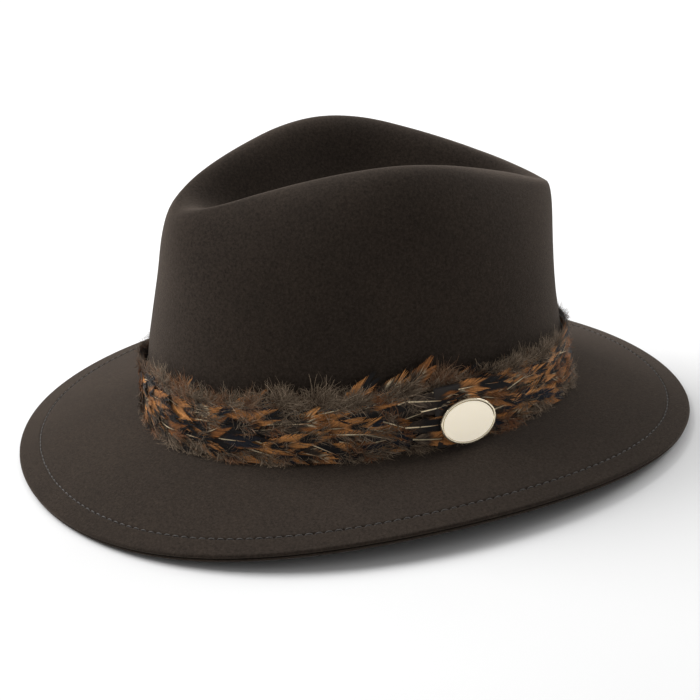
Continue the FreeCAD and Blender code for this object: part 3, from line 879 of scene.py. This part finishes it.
def feather_row(name, replaced, courses):
    parts = []
    count = int(round(WALL_LENGTH / FEATHER_SPACING))
    for up, angle, shift in courses:
        for i in range(count):
            along = (i + shift) * WALL_LENGTH / count + rng.normal(0, 2.4)
            kind = rng.choice(list(FEATHER_KINDS), p=list(FEATHER_KINDS.values()))
            add_feather(parts, along, up=up + rng.normal(0, 1.6), out=rng.uniform(1.3, 2.8),
                        angle=angle + rng.normal(0, 0.26), length=rng.uniform(17, 24),
                        half_width=rng.uniform(3.6, 5.2), kind=kind)
    if name == "vanes_upper":
        for off_badge, up, out, angle in STRAP_FEATHERS:
            add_feather(parts, BADGE_ALONG + off_badge + rng.normal(0, 1), up, out, angle,
                        length=rng.uniform(17, 21), half_width=rng.uniform(4.2, 5.2),
                        kind=rng.choice(["rust", "black", "barred"]))
    build_plumage(name, parts, FEATHER_M, replaced)


FEATHER_M = point_colour_material("feather_vane", rough=0.60, variation=0.32, scale=1500.0,
                                  sheen=0.02, specular=0.22)
for feather_args in FEATHER_ROWS:
    feather_row(*feather_args)

# ------------------------------------------------------------------ down
DOWN_M = point_colour_material("feather_down", rough=0.85, variation=0.35, scale=1200.0,
                               sheen=0.06, specular=0.10)
# Object, piece replaced, direction the strands point, up of the edge they start from
DOWN_EDGES = [("down_upper", "down_fluff_upper", 1, 27.5),
              ("down_lower", "down_fluff_lower", -1, 4.5)]


def add_tuft(parts, along, up, out, direction, count, length, warm, lean):
    # fine curling strands; direction is 1 up or -1 down, lean is radians towards the tips
    angle = rng.normal(lean, 0.65, count)
    strand = length * np.clip(rng.normal(0.8, 0.25, count), 0.25, 1.3)
    share = np.linspace(0, 1, 5)
    curl = rng.normal(0, 0.9, count)
    angle = angle[:, None] + curl[:, None] * share[None, :]
    step = strand[:, None] / (len(share) - 1)
    outward = rng.uniform(0.0, 0.75, count)[:, None] * (1 - 0.6 * share[None, :]) * step
    along = along + rng.normal(0, 1.7, count)[:, None] + np.cumsum(np.sin(angle) * step, 1)
    up = (up + rng.normal(0, 1.0, count)[:, None]
          + np.cumsum(direction * np.cos(angle) * step, 1))
    out = out + rng.uniform(-0.6, 1.2, count)[:, None] + np.cumsum(outward, 1)
    lines = np.stack([along, up, np.maximum(out, 0.5)], -1)
    half_width = (rng.uniform(0.07, 0.13, count)[:, None]
                  * np.array([1.0, 1.0, 0.85, 0.6, 0.25])[None, :])
    tone = rng.random(count)[:, None, None]
    pale = (rng.random(count) < 0.22)[:, None, None]
    root = mix(BROWN * 1.3, GREY, tone) * np.where(pale, 1.3, 1.0)
    tip = mix(GREY, GREY_LIGHT, tone) * np.where(pale, 1.45, 1.0)
    colours = mix(mix(root, RUST, warm), mix(tip, ORANGE_DARK, warm), share[None, :, None])
    add_strips(parts, lines, half_width, colours)


def down_edge(name, replaced, direction, edge_up):
    parts = []
    along = -WALL_LENGTH / 2
    while along < WALL_LENGTH / 2:
        big = rng.random()
        up = edge_up + rng.normal(0, 1.2)
        add_tuft(parts, along, up, rng.uniform(1.8, 4.0), direction,
                 count=int(45 + 200 * big ** 2), length=4.0 + 5.5 * big ** 2,
                 warm=float(rng.random() < 0.25) * rng.uniform(0.3, 0.8),
                 lean=rng.normal(0.6, 0.3))
        # a short fringe everywhere hides the edge of the ribbon
        add_tuft(parts, along + rng.normal(0, 1.5), edge_up + rng.normal(0, 0.8),
                 rng.uniform(1.0, 2.6), direction, count=46, length=4.2,
                 warm=float(rng.random() < 0.4) * 0.5, lean=rng.normal(0.7, 0.3))
        # and now and then a tuft out among the feathers
        if rng.random() < 0.6:
            add_tuft(parts, along + rng.normal(0, 4), rng.uniform(6, 25),
                     rng.uniform(3.5, 5.5), rng.choice([-1, 1]),
                     count=int(rng.uniform(12, 36)), length=rng.uniform(3, 6),
                     warm=float(rng.random() < 0.4) * 0.6, lean=rng.normal(0.9, 0.4))
        along += rng.uniform(3.0, 6.5)
    build_plumage(name, parts, DOWN_M, replaced)


for down_args in DOWN_EDGES:
    down_edge(*down_args)

# ------------------------------------------------------------------ keeper strap
KEEPER_M = leather_material("keeper_leather", (0.008, 0.005, 0.0035), (0.020, 0.012, 0.008),
                            rough=0.62, grain=1500.0)
keeper = slab(along=(BADGE_ALONG - 13.0, BADGE_ALONG + 7.0), up=(1.6, 30.6), out=(7.6, 8.5),
              columns=28, rows=30, rounding=1.2, bulge=0.25, pucker=0.12)
piece("keeper_strap", keeper, KEEPER_M, "wrap_keeper_strap", WRAP)

# ------------------------------------------------------------------ badge
BADGE_HALF_LENGTH = 14.25
BADGE_HALF_WIDTH = 10.788
BADGE_OUT = 9.4         # from the wall to the badge's back
BADGE_SHIFT = 1.6       # along the wall
BADGE_TILT = math.radians(-3.0)
BADGE_SIDES = 144
STUD_X = 7.5            # studs either side of the badge's middle
STUD_SIDES = 24
# Badge section: share of the half sizes, height off its back, 1 where it is the rim
BADGE_SECTION = [
    (0.0, 1.14, 0), (0.25, 1.14, 0), (0.5, 1.14, 0), (0.70, 1.14, 0), (0.82, 1.14, 0),
    (0.905, 1.14, 0), (0.915, 1.17, 1), (0.922, 1.26, 1), (0.930, 1.36, 1), (0.940, 1.43, 1),
    (0.958, 1.45, 1), (0.978, 1.40, 1), (0.990, 1.32, 1), (0.998, 1.05, 1), (1.0, 0.7, 1),
    (0.998, 0.25, 1), (0.985, 0.05, 1), (0.96, 0.0, 1), (0.6, 0.0, 1), (0.0, 0.0, 1)]
# Stud section: radius, height off the badge's back
STUD_SECTION = [(0, -2.72), (1.0, -2.72), (1.1, -2.6), (1.1, -2.5), (0.75, -2.45),
                (0.6, -2.35), (0.6, -0.6), (0.6, 0.02), (0.0, 0.02)]


def wall_at_badge(offset):
    return wall_pt(np.array([BADGE_ALONG + offset]), np.array([BADGE_UP]), np.array([0.0]))[0]


def badge_frame():
    tangent = wall_at_badge(3) - wall_at_badge(-3)
    tangent[2] = 0
    tangent = unit(tangent)
    facing = unit(np.array([tangent[1], -tangent[0], 0.06]))
    upward = unit(np.cross(facing, tangent))
    long_axis = tangent * math.cos(BADGE_TILT) + upward * math.sin(BADGE_TILT)
    short_axis = -tangent * math.sin(BADGE_TILT) + upward * math.cos(BADGE_TILT)
    origin = wall_at_badge(0) + tangent * BADGE_SHIFT + facing * BADGE_OUT
    return origin, np.array([long_axis, short_axis, facing])


BADGE_ORIGIN, BADGE_AXES = badge_frame()


def ellipse(half_x, half_y, height, sides, centre_x=0.0):
    # in the badge's frame, turned into the hat's
    angle = np.linspace(0, TURN, sides, endpoint=False)
    points = np.stack([centre_x + half_x * np.cos(angle), half_y * np.sin(angle),
                       np.full(sides, height)], -1)
    return BADGE_ORIGIN + points @ BADGE_AXES


def badge():
    rings = []
    for share, height, _ in BADGE_SECTION:
        # the rim keeps the same width all round
        shrink = BADGE_HALF_WIDTH if share < 0.8 else BADGE_HALF_LENGTH
        half_y = max(BADGE_HALF_WIDTH - (1 - share) * shrink, 0.0)
        rings.append(ellipse(BADGE_HALF_LENGTH * share, half_y, height, BADGE_SIDES))
    ob = make_mesh("badge_oval", *grid_shape(rings))
    # the badge face glows through emission in its own colour: painted light, the badge is no
    # lamp
    ob.data.materials.append(metal_material(
        "badge_face", (0.93, 0.84, 0.67), (0.98, 0.90, 0.74), rough=0.45, metallic=0.12,
        scale=500.0, painted_glow={"Emission Color": (0.95, 0.86, 0.69, 1), "Emission Strength": 0.42}))
    ob.data.materials.append(metal_material(
        "badge_rim", (0.92, 0.80, 0.58), (0.98, 0.88, 0.68), rough=0.20, metallic=0.85))
    on_rim = np.array([rim for _, _, rim in BADGE_SECTION[1:]], np.int32)
    ob.data.polygons.foreach_set("material_index", np.repeat(on_rim, BADGE_SIDES))
    declare(ob, "badge_plate", WRAP)


badge()

STEEL_M = metal_material("plain_steel", (0.42, 0.42, 0.43), (0.56, 0.56, 0.57), rough=0.35)
washer = slab(along=(BADGE_ALONG - 11.0, BADGE_ALONG + 11.0), up=(7.5, 17.5),
              out=(7.15, 7.45), columns=24, rows=12, rounding=0.5)
piece("badge_washer", washer, STEEL_M, "badge_back_plate", WRAP)

studs = [grid_shape([ellipse(radius, radius, height, STUD_SIDES, side * STUD_X)
                     for radius, height in STUD_SECTION], flip=True) for side in (-1, 1)]
piece("badge_studs", join(studs), STEEL_M, "badge_posts", WRAP)

# ------------------------------------------------------------------ thread round the quills
BINDING_M = thread_material("binding_thread", (0.010, 0.007, 0.006), (0.035, 0.024, 0.018))
BINDING_WAVES = 150
binding_along = np.linspace(-WALL_LENGTH / 2, WALL_LENGTH / 2, 1600, endpoint=False)
binding_angle = binding_along * TURN / (WALL_LENGTH / BINDING_WAVES)
binding_path = wall_pt(binding_along, 25.6 + 0.5 * np.sin(binding_angle),
                       3.3 + 0.35 * np.cos(binding_angle))
piece("bound_thread", tube(binding_path, 0.22, closed=True), BINDING_M,
      "wrap_binding_thread", WRAP)

# ------------------------------------------------------------------ sweatband
SWEAT_M = leather_material("sweat_leather", (0.050, 0.027, 0.015), (0.105, 0.062, 0.036),
                           rough=0.45, grain=1100.0)
SATIN_M = weave_material("satin", (0.022, 0.014, 0.010), (0.085, 0.058, 0.042), rough=0.28,
                         scale=3000.0, sheen=0.5, bump=0.12)
piece("sweat_leather_band", band(-1.0, 40.0, -3.75, -4.65, rows=12, flip=True), SWEAT_M,
      "sweatband")

REED_M = leather_material("reed_tape", (0.030, 0.020, 0.014), (0.060, 0.042, 0.030),
                          rough=0.5, grain=2500.0)
piece("reed_roll", tube(level_ring(-2.1, -4.2), 0.72, sides=10, closed=True), REED_M,
      "sweatband_reed")


def sweat_stitches():
    count = int(WALL_LENGTH / 3.4)
    out = -3.45 - np.array([-0.15, 0.05, 0.08, 0.05, -0.15])
    radii = [0.1, 0.17, 0.18, 0.17, 0.1]
    parts = []
    for i in range(count):
        start = -WALL_LENGTH / 2 + (i + 0.14) * WALL_LENGTH / count
        along = np.linspace(start, start + 0.74 * WALL_LENGTH / count, 5)
        parts.append(tube(wall_pt(along, 1.0 + 0.7 * np.linspace(0, 1, 5), out), radii, 5))
    piece("sweat_stitches", join(parts), THREAD_M, "sweatband_stitching")


sweat_stitches()

BACK_ALONG = along_at(math.pi / 2)
seam_tape = slab(along=(BACK_ALONG - 6, BACK_ALONG + 6), up=(1.0, 38.0), out=(4.75, 5.3),
                 columns=10, rows=24, rounding=0.5, side=-1.0)
piece("seam_tape", seam_tape, SATIN_M, "sweatband_back_tape")

# Bow at the back: two loops and a knot, each start and end from BACK_ALONG, half height
BOW_LOBES = [(-8.0, -0.9, 3.0), (0.9, 8.0, 3.0), (-1.3, 1.3, 1.6)]
BOW_UP = 6.0
BOW_IN = 6.0            # inward from the wall to the bow's middle
BOW_HALF_DEPTH = 0.5
BOW_SIDES = 16


def bow_lobe(start, end, half_height):
    angle = np.linspace(0, TURN, BOW_SIDES, endpoint=False)
    rings = []
    for share in np.linspace(0, 1, 13):
        swell = 0.25 + 0.75 * math.sin(math.pi * min(max(share, 0.02), 0.98)) ** 0.6
        rings.append(wall_pt(np.full(BOW_SIDES, BACK_ALONG + lerp(start, end, share)),
                             BOW_UP + half_height * swell * np.cos(angle),
                             -(BOW_IN + BOW_HALF_DEPTH * swell * np.sin(angle))))
    first, last = (np.tile(ring.mean(0), (BOW_SIDES, 1)) for ring in (rings[0], rings[-1]))
    return grid_shape([first] + rings + [last])


piece("sweat_bow", join([bow_lobe(*lobe) for lobe in BOW_LOBES]), SATIN_M, "sweatband_bow")

# ------------------------------------------------------------------ lining
piece("lining_wall", band(8.0, 74.0, -2.65, -3.0, rows=20, pleat=0.10, flip=True), SATIN_M,
      "lining_side_band")

# Crown lining: share of the way from its centre to its rim, height above that line
TIP_RINGS = [(0.0, 1.6), (0.1, 1.6), (0.2, 1.6), (0.3, 1.55), (0.42, 1.5), (0.55, 1.4),
             (0.65, 1.3), (0.75, 1.15), (0.83, 0.95), (0.9, 0.7), (0.95, 0.4), (0.985, 0.1)]
TIP_THICKNESS = 0.35


def lining_tip():
    rim = level_ring(75.0, -3.4)
    centre = np.array([0.0, MIDDLE_Y, rim[:, 2].mean()])
    upper = []
    for share, height in TIP_RINGS:
        ring = mix(centre, rim, share)
        ring[:, 2] += height + 0.12 * share * PLEAT_WAVE
        upper.append(ring)
    lower = [lowered(ring, TIP_THICKNESS) for ring in upper[::-1]]
    piece("lining_crown_tip", grid_shape(upper + [rim] + lower), SATIN_M, "lining_tip")


lining_tip()

# ------------------------------------------------------------------ wire in the brim edge
wire_path = below_brim(WELT_THETA, WIRE_IN, FELT + WELT_GAP * 0.5)
piece("edge_wire", tube(wire_path, 0.48, sides=8, closed=True), STEEL_M, "brim_wire")

# ------------------------------------------------------------------ camera (metres)
CAMERA_AZIMUTH = math.radians(70.772)       # from -Y towards +X
CAMERA_ELEVATION = 21.353                   # degrees
CAMERA_ROLL = math.radians(-3.571)
CAMERA_DISTANCE = 0.950
CAMERA_TARGET = Vector((0.159, -0.965, 38.825)) * MM


def view_dir(left, elevation):
    # direction from the hat, in degrees: left of the camera as seen, and up
    azimuth = CAMERA_AZIMUTH - math.radians(left)
    elevation = math.radians(elevation)
    return Vector((math.sin(azimuth) * math.cos(elevation),
                   -math.cos(azimuth) * math.cos(elevation), math.sin(elevation)))


def add_camera():
    back = view_dir(0.0, CAMERA_ELEVATION)
    level_right = (-back).cross(Vector((0, 0, 1))).normalized()
    level_up = level_right.cross(-back)
    right = level_right * math.cos(CAMERA_ROLL) + level_up * math.sin(CAMERA_ROLL)
    upward = level_up * math.cos(CAMERA_ROLL) - level_right * math.sin(CAMERA_ROLL)
    camera = bpy.data.cameras.new("cam")
    camera.sensor_width = 36.0
    camera.lens = 99.6171429
    camera.clip_start = 0.01
    ob = bpy.data.objects.new("cam", camera)
    bpy.context.scene.collection.objects.link(ob)
    ob.matrix_world = Matrix((right, upward, back)).transposed().to_4x4()
    ob.location = CAMERA_TARGET + back * CAMERA_DISTANCE
    bpy.context.scene.camera = ob


add_camera()

# ------------------------------------------------------------------ floor
FLOOR_HALF = 30000


def add_floor():
    corners = [(x * FLOOR_HALF, y * FLOOR_HALF, 0)
               for x, y in ((-1, -1), (1, -1), (1, 1), (-1, 1))]
    floor = make_mesh("floor", corners, [[0, 1, 2, 3]], smooth=False)
    shader = Shader("floor_white")
    noise = shader.noise(scale=3.0, detail=2.0)
    shader.drive(shader.ramp(noise, [(0.3, grey(0.80)), (0.7, grey(0.82))]), "Base Color")
    shader.set({"Roughness": 0.9, "Specular IOR Level": 0.1})
    floor.data.materials.append(shader.material)


add_floor()

# ------------------------------------------------------------------ light (metres, watts)
world = bpy.data.worlds.new("world")
bpy.context.scene.world = world
world.use_nodes = True
background = world.node_tree.nodes["Background"]
background.inputs["Color"].default_value = (1, 1, 1, 1)
background.inputs["Strength"].default_value = 0.38

LIGHT_TARGET = Vector((0, 0, 0.06))


def area_light(name, location, size, power):
    light = bpy.data.lights.new(name, "AREA")
    light.shape = "RECTANGLE"
    light.size = size
    light.size_y = size
    light.energy = power
    ob = bpy.data.objects.new(name, light)
    bpy.context.scene.collection.objects.link(ob)
    ob.location = location
    ob.rotation_euler = (LIGHT_TARGET - location).to_track_quat("-Z", "Y").to_euler()


area_light("key", view_dir(left=112, elevation=46) * 1.7, size=1.1, power=31.0)
area_light("top", view_dir(left=172, elevation=58) * 1.8, size=1.4, power=7.0)
area_light("rim", view_dir(left=-122, elevation=30) * 1.8, size=0.9, power=12.0)

view = bpy.context.scene.view_settings
view.view_transform = "Standard"
view.look = "None"
view.exposure = 0.0
view.gamma = 1.0
